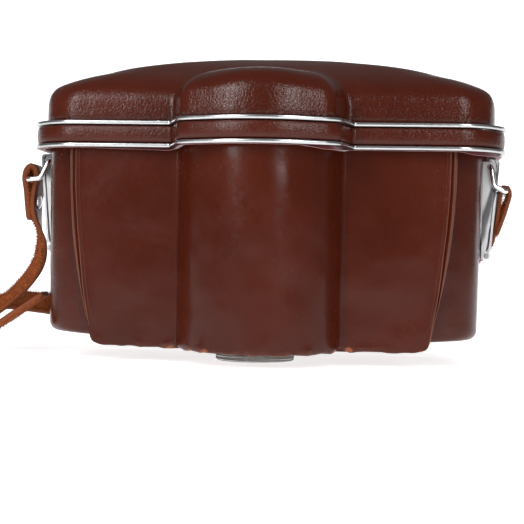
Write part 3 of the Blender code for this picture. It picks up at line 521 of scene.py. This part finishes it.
def strap_run(name, route, face, fuzz, seed):
    """A leather strap along (x, y, z, lean, turn, thickness) points; face picks the side that is smooth.

    lean turns the strap's width up from level, and turn twists it about its own run. fuzz is the number of loose
    fibres per point. Returns the object, its path in metres and its length.
    """
    line = smooth_line([(*p, *(0, 1.0)[len(p) - 4:]) for p in route], 1.2)
    places = [Vector(p[:3]) for p in line]
    points, faces, finishes = [], [], []
    shaker = random.Random(seed)
    frames = []
    for i, place in enumerate(places):
        ahead = (places[min(i + 1, len(places) - 1)] - places[max(i - 1, 0)]).normalized()
        lean = math.radians(line[i][3])
        wide = Vector((0, math.cos(lean), math.sin(lean))) * face
        wide = (wide - ahead * wide.dot(ahead)).normalized()
        wide = Matrix.Rotation(math.radians(line[i][4]), 3, ahead) @ wide
        thick = ahead.cross(wide).normalized()
        frames.append((place, ahead, wide, thick))
        tip = 0.86 if i in (0, len(places) - 1) else 1.0
        for u, v in SECTION:
            rough = noise.noise(Vector((i * 0.55, u * 1.1, seed))) * (0.16 if v < 0 else 0.05)
            ragged = noise.noise(Vector((i * 0.8, v, seed + 9))) * 0.14 if abs(u) > 4.5 else 0
            points.append(place + wide * (u * tip + math.copysign(ragged, u))
                          + thick * (v * tip * line[i][5] - rough))
    count = len(SECTION)
    for i in range(len(places) - 1):
        for k in range(count):
            n = (k + 1) % count
            faces.append((i * count + k, i * count + n, (i + 1) * count + n, (i + 1) * count + k))
            finishes.append(0 if k < 4 or k == 15 else 1 if 7 <= k <= 12 else 2)
    last = (len(places) - 1) * count
    faces += [list(range(count))[::-1], [last + k for k in range(count)]]
    finishes += [2, 2]
    for _ in range(int(len(places) * fuzz)):
        place, ahead, wide, thick = frames[shaker.randrange(2, len(frames) - 2)]
        edge = shaker.random() < 0.5
        u = math.copysign(shaker.uniform(4.6, 5.0), shaker.random() - 0.5) if edge else shaker.uniform(-4.9, 4.9)
        root = place + wide * u - thick * 0.85
        aside = wide * math.copysign(0.5, u) if edge else Vector()
        out = (-thick * shaker.uniform(0.4, 1.0) + wide * shaker.uniform(-0.6, 0.6) + aside
               + ahead * shaker.uniform(-0.7, 0.7)).normalized()
        long = shaker.uniform(0.3, 1.3)
        side = out.cross(ahead).normalized() * 0.09
        other = out.cross(side).normalized() * 0.09
        first = len(points)
        points += [root - side - other, root + side - other, root + other * 1.4, root + out * long]
        faces += [(first, first + 1, first + 3), (first + 1, first + 2, first + 3), (first + 2, first, first + 3),
                  (first, first + 2, first + 1)]
        finishes += [1] * 4
    mesh = bpy.data.meshes.new(name)
    mesh.from_pydata([tuple(P(*p)) for p in points], [], faces)
    mesh.validate()
    shape = bmesh.new()
    shape.from_mesh(mesh)
    bmesh.ops.recalc_face_normals(shape, faces=shape.faces)
    shape.to_mesh(mesh)
    shape.free()
    mesh.shade_smooth()
    mesh.set_sharp_from_angle(angle=math.radians(50))
    thing = placed(name, mesh)
    paint(thing, STRAP, FLESH, EDGES)
    mesh.polygons.foreach_set("material_index", finishes[: len(mesh.polygons)])
    path = [tuple(P(*p)) for p in places]
    length = sum(math.dist(a, b) for a, b in zip(path, path[1:]))
    return thing, path, length


def flesh(name):
    f = Finish(name)
    nap = f.noise(700, 5, 0.75)
    patch = f.noise(90, 4, 0.6)
    tone = f.ramp(nap, [(0.3, (0.11, 0.026, 0.007)), (0.5, (0.24, 0.06, 0.016)), (0.72, (0.42, 0.12, 0.036))])
    tone = f.mix(f.span(patch, 0.35, 0.7, 0.0, 0.5), tone, (0.2, 0.05, 0.018))
    f.bump((nap, 0.8, 0.25))
    return f.put(Base_Color=tone, Roughness=0.9, Specular_IOR_Level=0.1)


STRAP = leather("strap_face", (0.085, 0.02, 0.008), 0.4, 0.5, 0.16)
FLESH = flesh("strap_flesh")
EDGES = leather("strap_edges", (0.17, 0.043, 0.014), 0.6, 0.6, 0.2)

SIDE_LEFT = [
    (-88.7, 30, 49.6, 0), (-89.4, 30, 55.5, 0), (-89.9, 30, 60.5, 0), (-90.6, 30, 65.0, 0), (-90.0, 30, 68.2, 0),
    (-88.4, 30, 69.7, 0), (-86.6, 30, 68.6, 0), (-86.0, 30, 65.5, 0, 0), (-86.7, 30, 60.5, 0, 3),
    (-87.3, 30, 55.5, 0, 3), (-86.9, 30, 50.3, 0, -4), (-85.6, 30, 45.0, 0, -16), (-84.9, 30, 40.0, 0, -29),
    (-86.2, 30, 33.0, 0, -34), (-92.0, 30, 24.9, 0, -32), (-100.5, 30, 17.1, 0, -27), (-109.5, 30, 11.2, 0, -20),
    (-118, 30, 8.2, 0, -11), (-127, 30, 7.0, 0, -4), (-145, 30, 6.8, 0), (-175, 30, 6.9, 0), (-205, 30, 6.7, 0),
    (-228, 30, 6.4, 0), (-236, 30, 6.9, 0), (-239.2, 30, 6.2, 0), (-240.2, 30, 4.9, 0),
]
left_run, left_path, left_long = strap_run("strap_short_end", SIDE_LEFT, 1, 30, 4)

LONG_END = [
    (83.6, 35.4, 48.6, 30, 0, 0.7), (85.4, 33.2, 53.6, 24, 0, 0.7), (87.1, 31.2, 58.6, 10, 0, 0.7),
    (87.8, 30.2, 61.8, 0, 0, 0.7), (87.1, 30, 64.0, 0, 0, 0.7), (85.4, 30.1, 64.3, 0, 0, 0.7),
    (84.5, 30.6, 61.4, 6, 0, 0.7), (84.0, 32.6, 56.6, 22, 0, 0.7), (83.5, 35.6, 51.8, 34, 0, 0.75),
    (82.6, 39.6, 48.0, 55, 0, 0.85), (80.8, 45.0, 45.2, 75), (79.6, 51.0, 43.4, 88), (77.8, 58.0, 40.8, 92),
    (74.4, 65.4, 36.2, 100), (69.6, 71.8, 29.0, 118), (65.0, 75.8, 20.6, 142), (61.6, 78.0, 12.4, 166),
    (57.8, 78.9, 7.6, 178), (52, 79, 6.4, 180), (40, 79, 6.1, 180), (15, 79, 6.2, 180), (-10, 79, 6.1, 180),
    (-24.5, 79, 6.1, 180), (-27.3, 79, 5.3, 180), (-27.3, 79, 4.3, 180), (-24.5, 79, 3.75, 180), (-10, 79, 3.7, 180),
    (15, 79, 3.8, 180), (40, 79, 3.75, 180), (50.5, 79, 3.7, 180), (53.2, 79, 3.0, 180), (53.2, 79, 2.0, 180),
    (50.5, 79, 1.35, 180), (30, 79, 1.3, 180), (0, 79, 1.3, 180), (-25, 79, 1.6, 180), (-36, 79, 3.4, 184),
    (-47, 78.8, 5.6, 196), (-59, 77.5, 8.8, 208), (-72, 72, 12.6, 214), (-83, 64, 15.8, 216), (-92, 54, 17.8, 212),
    (-101, 44, 18.4, 204), (-110, 36.5, 16.0, 194), (-119, 31.6, 12.6, 184), (-129, 30, 10.7, 180),
    (-150, 30, 10.2, 180), (-180, 30, 10.3, 180), (-210, 30, 10.1, 180), (-240, 30, 9.9, 180), (-255, 30, 9.3, 180),
    (-261, 30, 7.6, 180), (-262, 30, 5.6, 180), (-259, 30, 3.9, 180), (-250, 30, 3.0, 180), (-236, 30, 2.9, 180),
    (-210, 30, 2.6, 180), (-180, 30, 2.7, 180), (-150, 30, 2.6, 180), (-128, 29.5, 2.7, 180), (-118, 28.4, 3.4, 180),
    (-109, 27.0, 5.6, 180), (-100, 26.0, 10.0, 180), (-91, 25.4, 16.0, 180), (-81.8, 25.0, 22.2, 180),
]
long_run, long_path, long_long = strap_run("strap_long_end", LONG_END, -1, 14, 8)


def build_rings():
    for side, n, hang in ((1, "right", 31.0), (-1, "left", 48.5)):
        hole = (side * 80.6, 71.2)
        angle, knee_angle = math.radians(hang), math.radians(hang - 22)
        bar = (hole[0] + side * 10.3 * math.sin(angle), hole[1] - 10.3 * math.cos(angle))
        knee = (hole[0] + side * 7.2 * math.sin(knee_angle), hole[1] - 7.2 * math.cos(knee_angle))
        route = [(hole, -4.9), (hole, -8.3), (knee, -8.3), (bar, -8.3), (bar, 8.3), (knee, 8.3), (hole, 8.3),
                 (hole, 4.9)]
        mesh = turned_tube(f"ring_wire_{n}", [(x, RING_Y + y, z) for (x, z), y in route], 1.0)
        ring = made(f"ring_wire_{n}", mesh, f"ring_{n}", f"strap_ring_{n}", slot="chrome")
        paint(ring, CHROME)


def dome_stud(name, centre, axis, out, radius, tall, body, node):
    profile = [(radius * math.cos(a), tall * math.sin(a) * out) for a in np.linspace(0, math.pi / 2 * 0.97, 10)]
    profile = [(radius * 0.96, -0.3 * out)] + profile
    stud = made(name, disc_loft(name, profile, centre, axis, 32), body, node, slot="brass")
    return paint(stud, CHROME)


build_rings()
left_stud = dome_stud("stud_left", (-86.2, 29.5, 56.4), "x", 1, 2.6, 1.3, "ring_left", "strap_rivet_left")
right_stud = dome_stud("stud_right", (86.8, 32.2, 55.6), "x", 1, 2.2, 0.9, "ring_right", "strap_rivet_right")
keeper_in = [(24.3, 0.95, 1.2), (35.7, 0.95, 1.2), (35.7, 11.6, 1.2), (24.3, 11.6, 1.2)]
keeper_rings = []
for x, out in ((-150, 0.5), (-149.6, 0.9), (-141.4, 0.9), (-141, 0.5), (-141, 0), (-150, 0)):
    keeper_rings.append([(x, p.x, p.y) for p in rounded(grown(keeper_in, out), 10.0)])
keeper = made("keeper_band", loft("keeper_band", keeper_rings, closed=True), "body", "strap_keeper",
              slot="strap_leather")
paint(keeper, STRAP)
corners = [(-238.4, 30), (-238.4, 37.4), (-250, 37.4), (-250, 22.6), (-238.4, 22.6), (-238.4, 29.4)]
buckle = made("buckle_wire", turned_tube("buckle_wire", [(x, y, 5.2) for x, y in corners], 1.1, 2.4), "body",
              "buckle_frame", slot="chrome")
prong = made("prong_wire", turned_tube("prong_wire", [(-238.0, 30, 6.9), (-239.8, 30, 6.9), (-241, 30, 4.0),
                                                      (-243, 30, 1.2), (-250.8, 30, 1.3)], 0.6, 1.2), "body",
             "buckle_prong", slot="chrome")
for thing in (buckle, prong):
    paint(thing, CHROME)
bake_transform(left_run)
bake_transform(long_run)
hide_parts("strap_left", "strap_loop_left")
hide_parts("strap_right", "strap_back", "strap_tail", "strap_hank_side", "strap_hank_back",
            "strap_loop_right")


# ---------------------------------------------------------------- the body
TRAY = rectangle(77.5, 5.0, 62.0, 15.0)
TAPER = 0.0155  # share of the width lost from the rim to the base


def tray_ring(inset, z, cuts):
    """One level of the tray: narrower towards the base, its left wall further out, its lower edge sagging."""
    low = (BODY_TOP - z) / (BODY_TOP - TRAY_Z)
    points = []
    for p in rounded(grown(TRAY, -inset), 3.0, cuts):
        x = p.x * (1 - TAPER * low)
        x -= (1.3 + 0.4 * low) * min(1.0, max(0.0, -p.x / 60))
        sag = max(0.0, min((abs(x) - 53) / 5, (79 - abs(x)) / 21)) * max(0.0, 1 - (z - TRAY_Z) / 5)
        points.append((x, p.y, z - 1.2 * sag))
    return points


def build_body():
    cuts = cuts_of(TRAY, 3.0)
    rings = [tray_ring(WALL * (1 - math.sin(a)), TRAY_Z + WALL * (1 - math.cos(a)), cuts)
             for a in (math.pi / 2 * k / 8 for k in range(9))]
    rings += [tray_ring(0, z, cuts) for z in np.linspace(14.5, 78.6, 28)]
    rim = ((0.25, 79.5), (0.9, BODY_TOP), (2.1, BODY_TOP), (2.75, 79.5), (WALL, 78.6), (WALL, FLOOR_Z))
    rings += [tray_ring(inset, z, cuts) for inset, z in rim]
    shell = placed("case_body", dented(loft("case_body", rings), 0.22, 26, 3.0))
    applied(shell, (box_mesh("window", (-27, 2, 12.9), (27, 12, 90)), "DIFFERENCE"),
            (disc_loft("shaft", [(SHAFT_R, 2), (SHAFT_R, 30)], SCREW), "DIFFERENCE"))
    shell.data.shade_smooth()
    shell.data.set_sharp_from_angle(angle=math.radians(45))
    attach(shell, "body")
    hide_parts("body_shell")
    paint(shell, LEATHER)


# The panel's outline, (z, half its width), and its edge, (distance in from the side, height off the face)
PANEL = ((80, 65.4), (70, 65.4), (60, 65.2), (52, 64.7), (46, 64.2), (39, 63.4), (32, 62.7), (26, 62.0), (22, 61.4),
         (16, 60.3), (11, 59.4), (8.5, 58.9), (7.2, 58.4), (6.4, 57.6), (5.8, 56.4), (5.35, 54.8), (5.1, 52.5))
EDGE = ((0.0, -2.2), (0.1, -1.2), (0.3, -0.5), (0.6, -0.12), (0.95, 0.0), (1.25, -0.12), (1.5, -0.48), (1.75, -0.6),
        (1.95, -0.4), (2.15, 0.1), (2.35, 0.24), (2.6, 0.16), (2.85, -0.13), (3.1, -0.15), (3.35, 0.0), (3.55, 0.09),
        (3.8, 0.05), (4.4, 0.0), (6.5, 0.0))


def panel_row(z, half, roll):
    """One level of the front panel: its face from the left to the right, then its back; roll takes the face back."""
    hollow, thick = DRUM_R - WALL, 4.7
    fade = min(1.0, max(0.0, (z - 7) / 16))
    close = min(1.0, max(0.12, (z - 9) / 30))
    half += 2.15 * close
    left = [(-half + d * (close if d < 2.15 else 1) - (0 if d < 2.15 else 2.15 * (1 - close)),
             -h * (fade if d > 0.9 else 1.0) + roll) for d, h in EDGE]
    start = left[-1][0]
    bend = 1.7  # the fillet between the flat and the drum
    lean = math.acos((DRUM_Y + bend) / (DRUM_R + bend))
    foot = -math.sin(lean) * (DRUM_R + bend)
    flat = [(start + (foot - start) * k / 16, roll) for k in range(1, 16)]
    fillet = [(foot + bend * math.sin(t), -bend + bend * math.cos(t) + roll)
              for t in (lean * 0.98 * k / 8 for k in range(9))]
    arc = [(-math.sin(t) * DRUM_R, DRUM_Y - math.cos(t) * DRUM_R + roll) for t in np.linspace(lean * 0.985, 0, 46)]
    front = left + flat + fillet + arc
    front += [(-x, y) for x, y in front[-2::-1]]
    inner = math.asin(math.sqrt(1 - ((DRUM_Y - thick) / hollow) ** 2))
    open_back = z > FLOOR_Z + 0.05
    back = [(half, thick)] + [(half - (half - 26.4) * k / 8, thick) for k in range(1, 8)]
    for t in np.linspace(-inner, inner, 61):
        x = -math.sin(t) * hollow
        back.append((x, DRUM_Y - math.cos(t) * hollow if open_back else thick))
    back += [(-x, y) for x, y in back[7::-1]]
    return [(x, y, z) for x, y in front + back]


def build_panel():
    levels = [z for z, _ in PANEL]
    halves = [h for _, h in PANEL]

    def half(z):
        return float(np.interp(z, levels[::-1], halves[::-1]))

    zs = [SOLE_Z, 5.25, 5.5, 5.9, 6.4, 7.1, 8.2, 9.6, 11.2, FLOOR_Z, 12.8, 14.2, *np.linspace(16, 78.6, 34), 79.4,
          BODY_TOP]
    rows = []
    for z in zs:
        low = max(0.0, 1 - (z - SOLE_Z) / 1.6)
        roll = 1.5 * (1 - math.sqrt(max(0.0, 1 - low * low))) + {BODY_TOP: 0.7, 79.4: 0.2}.get(z, 0)
        rows.append(panel_row(z, half(z), roll))
    mesh = loft("front_panel", rows)
    normals = [v.normal.copy() for v in mesh.vertices]
    for v, normal in zip(mesh.vertices, normals):
        p = v.co / MM
        if p.y - FRONT < 3.5:
            swell = noise.fractal(p / 24 + Vector((5, 2, 9)), 0.9, 2.0, 3) * 0.28
            lumps = noise.fractal(p / 5 + Vector((1, 7, 3)), 0.8, 2.0, 2) * 0.5 * max(0.0, 1 - (p.z - 5) / 4)
            v.co += normal * (swell + lumps) * MM
            drop = 0.9 * max(0.0, 1 - (p.x / 28) ** 2) - 0.9 * math.exp(-((abs(p.x) - 28.5) / 1.7) ** 2)
            drop += 0.35 * math.exp(-((abs(p.x) - 32.5) / 1.6) ** 2)
            v.co.z -= drop * max(0.0, 1 - (p.z - SOLE_Z) / 9) * MM
    mesh.shade_smooth()
    mesh.set_sharp_from_angle(angle=math.radians(60))
    paint(made("front_panel", mesh, "body", "front_cover", slot="leather"), PANEL_LEATHER)


def build_base():
    corners = [(-52, 5.0, 2.0), (52, 5.0, 2.0), (55, 57, 9.0), (-55, 57, 9.0)]
    cuts = cuts_of(corners, 4.0)
    levels = ((1.2, SOLE_Z), (0.5, 5.25), (0.12, 5.7), (0, 6.3), (0, 8.9), (0.4, 9.4))
    rings = [[(p.x, p.y, z) for p in rounded(grown(corners, -inset), 5.0, cuts)] for inset, z in levels]
    sole = placed("sole", loft("sole", rings))
    applied(sole, (disc_loft("sole_shaft", [(SHAFT_R, 2), (SHAFT_R, 30)], SCREW), "DIFFERENCE"))
    sole.data.shade_smooth()
    sole.data.set_sharp_from_angle(angle=math.radians(45))
    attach(sole, "body")
    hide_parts("sole_pad")
    paint(sole, LEATHER)

    def knurl(angle, radius):
        return radius - (0.35 * abs(math.sin(angle * TEETH / 2)) if radius > 13 else 0)

    profile = [(3.4, 4.3), (13.2, 4.3), (14.1, 3.7), (14.15, 3.2), (14.15, 1.0), (14.1, 0.5), (13.4, 0.0), (9.0, 0.0),
               (8.6, 0.25), (3.4, 0.25)]
    turned = disc_loft("screw_knurled_knob", profile, SCREW, steps=6 * TEETH, wave=knurl)
    knob = made("screw_knurled_knob", turned, "screw", "screw_knob", slot="chrome")
    knob.data.set_sharp_from_angle(angle=math.radians(30))
    paint(knob, knurled("knurled_plate"))


# ---------------------------------------------------------------- the lid
# The dome's profile: share of its height, then how far the ends and the front have come in
DOME_TALL = 26.3
FOOT = 3.4  # from the belt's face in to the dome's foot
DOME = ((0, 0.0, 0.0), (0.16, 0.05, 0.05), (0.31, 0.25, 0.3), (0.465, 1.9, 2.4), (0.59, 7.0, 6.2),
        (0.705, 15.0, 11.0), (0.845, 30.0, 18.0), (0.95, 53.0, 25.5), (1.0, 74.0, 30.9))


def dome_mesh(name, inset, foot, aside=ASIDE):
    half, middle, deep = 79.6, 31.0, 31.8
    rings = []
    rows = smooth_line([(share * DOME_TALL, side, front) for share, side, front in DOME], 0.9)
    for k, (rise, side, front) in enumerate(rows):
        share = rise / DOME_TALL
        x, y = max(2.0, half - inset - side), max(0.6, deep - inset - front)
        z = foot if k == 0 else DOME_Z + rise - inset * min(1, share * 2)
        radius = min(13.6 - inset + side * 0.35, y * 0.9, x * 0.9)
        ring = rounded([(-x, middle - y, radius), (x, middle - y, radius), (x, middle + y, radius),
                        (-x, middle + y, radius)], 5.0)
        rings.append([(p.x + aside, p.y, z) for p in ring])
    return loft(name, rings)


# The cap over the drum: height, how far the side has come in, and how much of the top's slope it has
CAP = ((0.0, 0.0, 0.0), (4.5, 0.1, 0.0), (9.0, 0.45, 0.1), (12.2, 1.7, 0.55), (14.4, 3.6, 0.9), (15.6, 6.2, 1.0),
       (16.1, 9.5, 1.0), (16.2, 12.5, 1.0))


def cap_mesh(name, inset, foot):
    apex = -22.0
    rings = []
    rows = smooth_line([(h * 0.965, c, t) for h, c, t in CAP], 0.8)
    for k, (height, come_in, top) in enumerate(rows):
        back = 24.0 + FOOT + inset + come_in
        plan = [(-33.4, back, 0), (-33.4, -4.2, 0), (-28.6, -18.6, 9.0), (0, -28.4, 45.0), (28.2, -18.6, 9.0),
                (32.5, -4.2, 0), (32.5, back, 0)]
        ring = rounded(grown(plan, -FOOT - inset - come_in), 5.0)
        base = foot if k == 0 else DOME_Z + height - inset * min(1, height / 12.8)
        rings.append([(p.x, p.y, base + top * (0.16 * (p.y - apex) - 3.5 / 625 * p.x**2)) for p in ring])
    return loft(name, rings)


def build_dome():
    name, foot = "lid_dome", DOME_Z
    form = placed(name, dome_mesh(name, 0.0, foot))
    applied(form, (cap_mesh("cap", 0.0, foot), "UNION"), (dome_mesh("hollow", WALL, foot - 3, 0.0), "DIFFERENCE"),
            (cap_mesh("cap_hollow", WALL, foot - 3), "DIFFERENCE"))
    change = form.modifiers.new("remesh", "REMESH")
    change.mode, change.voxel_size, change.use_smooth_shade = "VOXEL", 0.7 * MM, True
    change = form.modifiers.new("smooth", "SMOOTH")
    change.iterations, change.factor = 10, 0.5
    bake(form)
    dented(form.data, 0.16, 30, 6.0)
    form.data.shade_smooth()
    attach(form, "lid")
    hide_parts("lid_shell")
    paint(form, LID_LEATHER)


def build_lid():
    build_dome()
    nose = [(0.0, 0.0), (0.35, 0.08), (0.58, 0.35), (0.6, 0.75), (0.58, 1.15), (0.35, 1.42), (0.0, 1.5)]
    for name, z, inner in (("lid_trim_lower", SKIRT_Z, -1.8), ("lid_trim_upper", 82.2, -6.2)):
        profile = [(out, z + up) for out, up in nose] + [(inner, z + 1.5), (inner, z)]
        trim = made(f"{name}_bead", swept_band(f"{name}_bead", SKIRT, profile, 3.0), "lid", name, slot="chrome")
        trim.data.set_sharp_from_angle(angle=math.radians(40))
        paint(trim, TRIM)
    bulge = [(-0.35, 76.15), (-0.05, 76.5), (0.12, 77.6), (0.18, 79.0), (0.12, 80.4), (-0.05, 81.5), (-0.35, 81.85)]
    profile = bulge + [(-2.0, 81.85), (-2.0, 76.15)]
    belt = made("belt_leather", swept_band("belt_leather", SKIRT, profile, 3.0), "lid", "lid_belt", slot="leather")
    belt.data.set_sharp_from_angle(angle=math.radians(50))
    paint(belt, BELT_LEATHER)
    pile = [(-2.05, 74.3), (-1.9, 74.22), (-1.0, 74.22), (-0.8, 74.28), (-2.0, 74.4), (-2.05, 81.8), (-2.6, 81.8),
            (-2.6, 74.3)]
    hem = made("skirt_velvet", swept_band("skirt_velvet", SKIRT, pile, 3.0), "lid", "lid_skirt_lining", slot="velvet")
    for v in hem.data.vertices:
        x, y, z = v.co / MM
        if z < 74.5 and y < 30:
            sags = ((-39, 9), (24.5, 5), (77, 7))
            v.co.z -= 1.1 * sum(math.exp(-(((x - at) / wide) ** 4)) for at, wide in sags) * MM
    paint(hem, VELVET)


SCUFFS = [((-30.5, 1, 4.6), 3.2), ((31.5, 0, 5.2), 3.0), ((-22, -11, 4.6), 2.2), ((-16.5, -16, 4.0), 3.8),
          ((-14, -20, 11.5), 2.0), ((-1, -21, 3.6), 1.8), ((9, -20, 3.8), 2.0), ((56.5, 1, 5.6), 2.2),
          ((65.2, -0.4, 48), 1.2)]
# the panel's bead lines get a painted highlight on their ridges
PANEL_LEATHER = leather("panel_leather", grain=0.16, gloss=0.2, ridge_highlight=0.32, scuffs=SCUFFS)
BELT_LEATHER = leather("belt_leather_finish", grain=1.0, coarse=900, depth=0.1)
LID_LEATHER = leather("lid_leather", grain=1.0, coarse=800, depth=0.1, rough=0.17)
build_body()
build_panel()
build_base()
build_lid()


# ---------------------------------------------------------------- stage and light
def card(name, low, high, finish):
    """A flat stage sheet between two corners."""
    mesh = bpy.data.meshes.new(name)
    mesh.from_pydata([tuple(P(*p)) for p in ((low[0], low[1], low[2]), (high[0], low[1], low[2]),
                                             (high[0], high[1], high[2]), (low[0], high[1], high[2]))],
                     [], [(0, 1, 2, 3)])
    thing = placed(name, mesh)
    mesh.materials.append(finish)


def paper(name, value):
    """A nearly even white that glows a little."""
    f = Finish(name)
    cloud = f.noise(3, 3, 0.5)
    tone = f.ramp(cloud, [(0.3, (value,) * 3), (0.7, (value * 0.985,) * 3)])
    return f.put(Base_Color=tone, Roughness=0.85, Emission_Color=tone, Emission_Strength=0.9)


card("floor", (-2500, -900, 0), (2500, 1600, 0), paper("white_floor", 0.86))
card("backdrop", (-2500, 1600, 0), (2500, 1600, 560), paper("white_backdrop", 0.9))


def softbox(name, place, target, size, power):
    """An area light of this width and height in metres and this power in watts, turned to its target."""
    lamp = bpy.data.lights.new(name, "AREA")
    lamp.shape = "RECTANGLE"
    lamp.size, lamp.size_y = size
    lamp.energy = power
    thing = placed(name, lamp)
    thing.location = P(*place)
    thing.rotation_mode = "QUATERNION"
    thing.rotation_quaternion = (P(*target) - P(*place)).to_track_quat("-Z", "Y")
    return thing


softbox("key_left", (-355, -552, 386), (-10, -20, 90), (0.17, 0.5), 3.0)
softbox("key_right", (317, -575, 386), (10, -20, 90), (0.13, 0.5), 2.3)
softbox("left_card", (-265, -560, 460), (-40, 0, 80), (0.27, 0.72), 0.4)
fill = softbox("overhead_fill", (0, 60, 900), (0, 20, 60), (1.2, 0.8), 1.6)
fill.visible_glossy = False
world = bpy.data.worlds.new("studio")
scene.world = world
world.use_nodes = True
world.node_tree.nodes["Background"].inputs["Color"].default_value = (1, 1, 1, 1)
world.node_tree.nodes["Background"].inputs["Strength"].default_value = 0.16
scene.view_settings.view_transform = "Standard"
